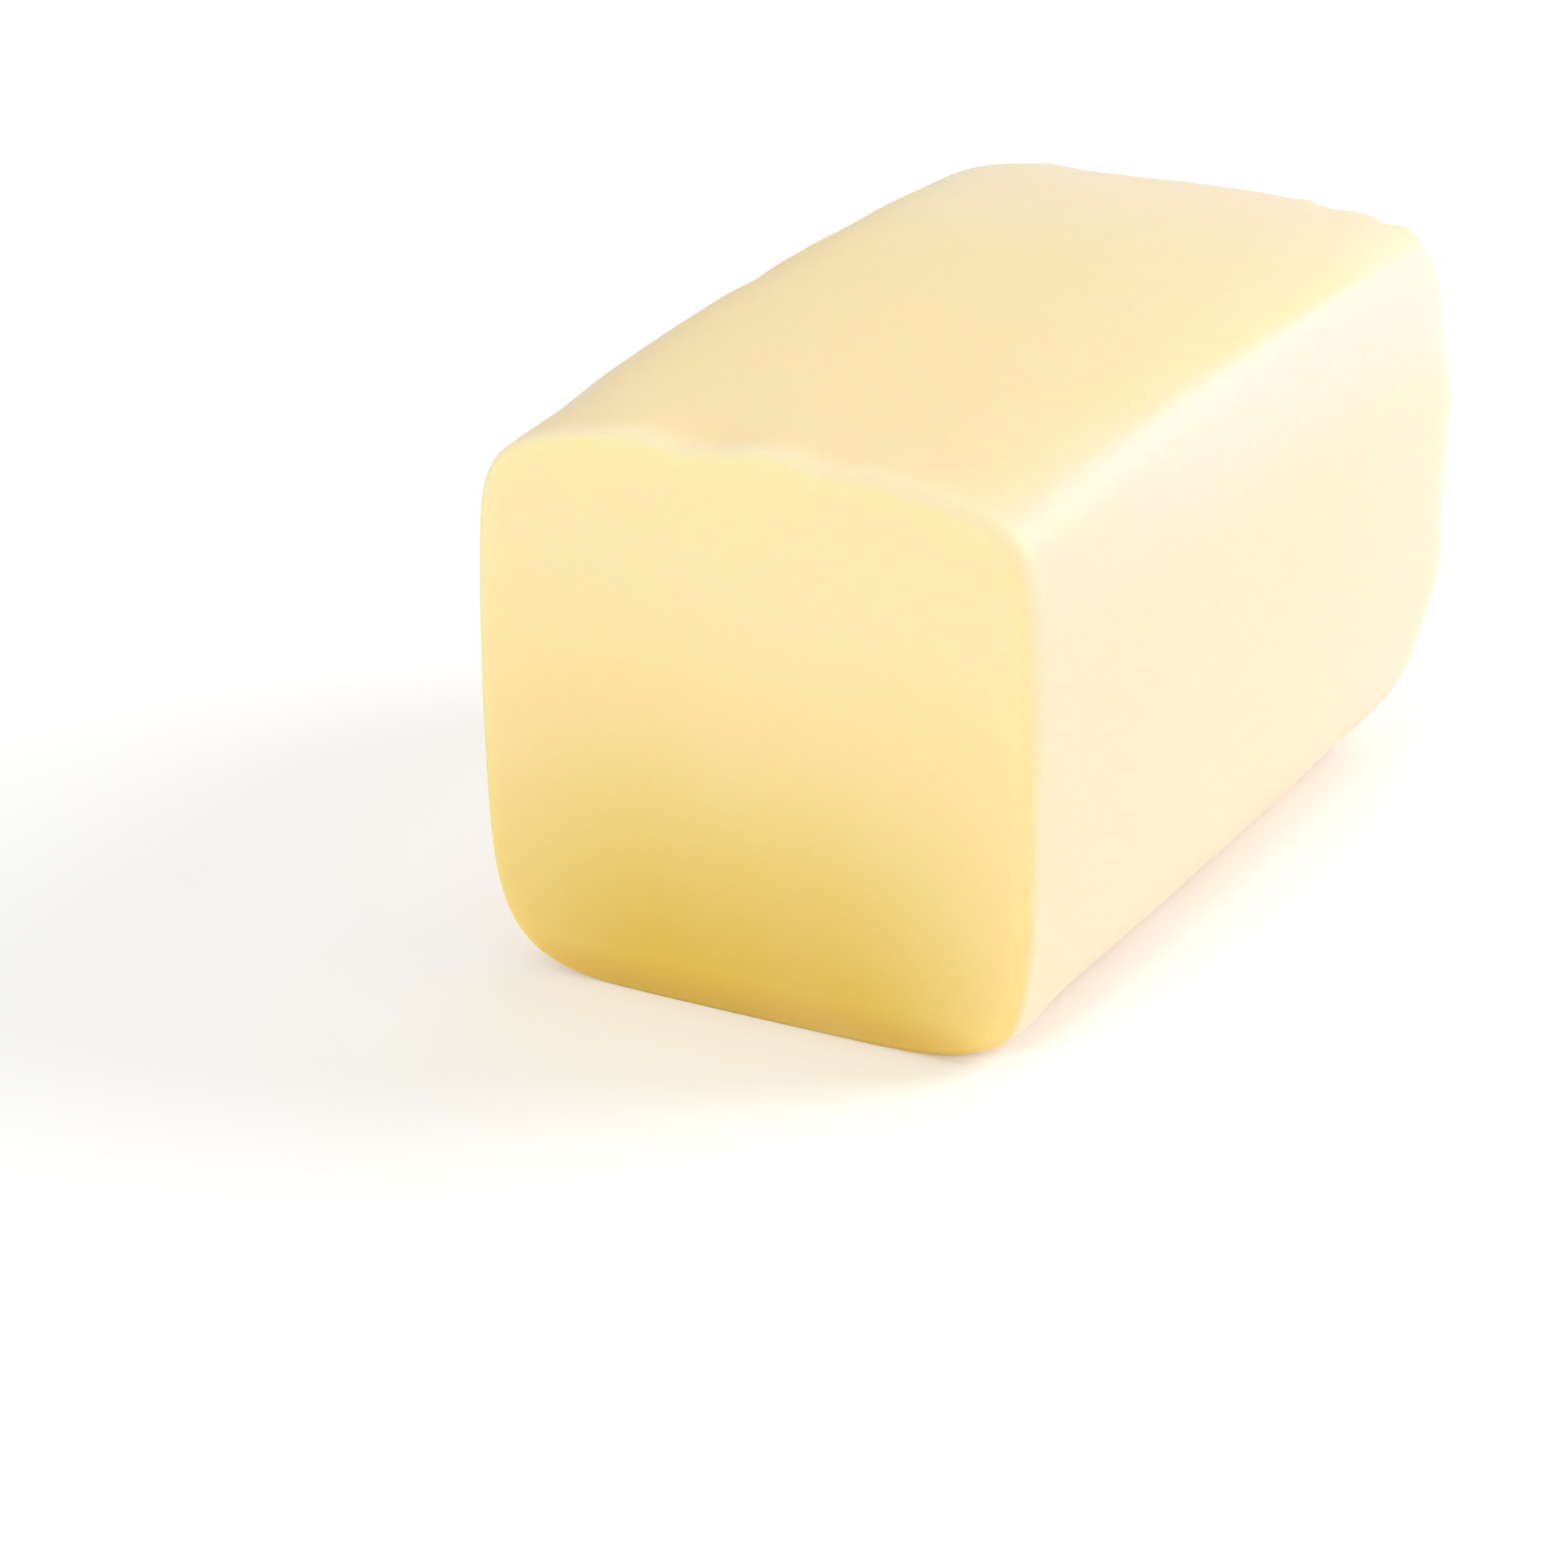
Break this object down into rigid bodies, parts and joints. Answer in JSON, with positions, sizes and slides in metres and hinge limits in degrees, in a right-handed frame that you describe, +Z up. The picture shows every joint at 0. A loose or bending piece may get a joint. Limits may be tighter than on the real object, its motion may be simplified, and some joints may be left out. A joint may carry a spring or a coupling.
{
  "type": "cheese block",
  "caption": "Block of mild semi-soft cheese from a moulded loaf, cut flat at one end and rounded at the other, with soft long edges and a gently crowned top.",
  "frame": {"origin": "on the surface the block lies on, under the middle of its bounding box", "axes": "+Z up, +Y along the loaf from the flat cut at -Y to the rounded moulded end at +Y, +X across the width"},
  "size_m": [0.1022, 0.168, 0.0982],
  "materials": {
    "cheese": "satin, slightly waxy and translucent: creamy skin, butter-yellow cut face"
  },
  "bodies": {
    "root": {"cheese_block": "cheese"}
  },
  "joints": []
}
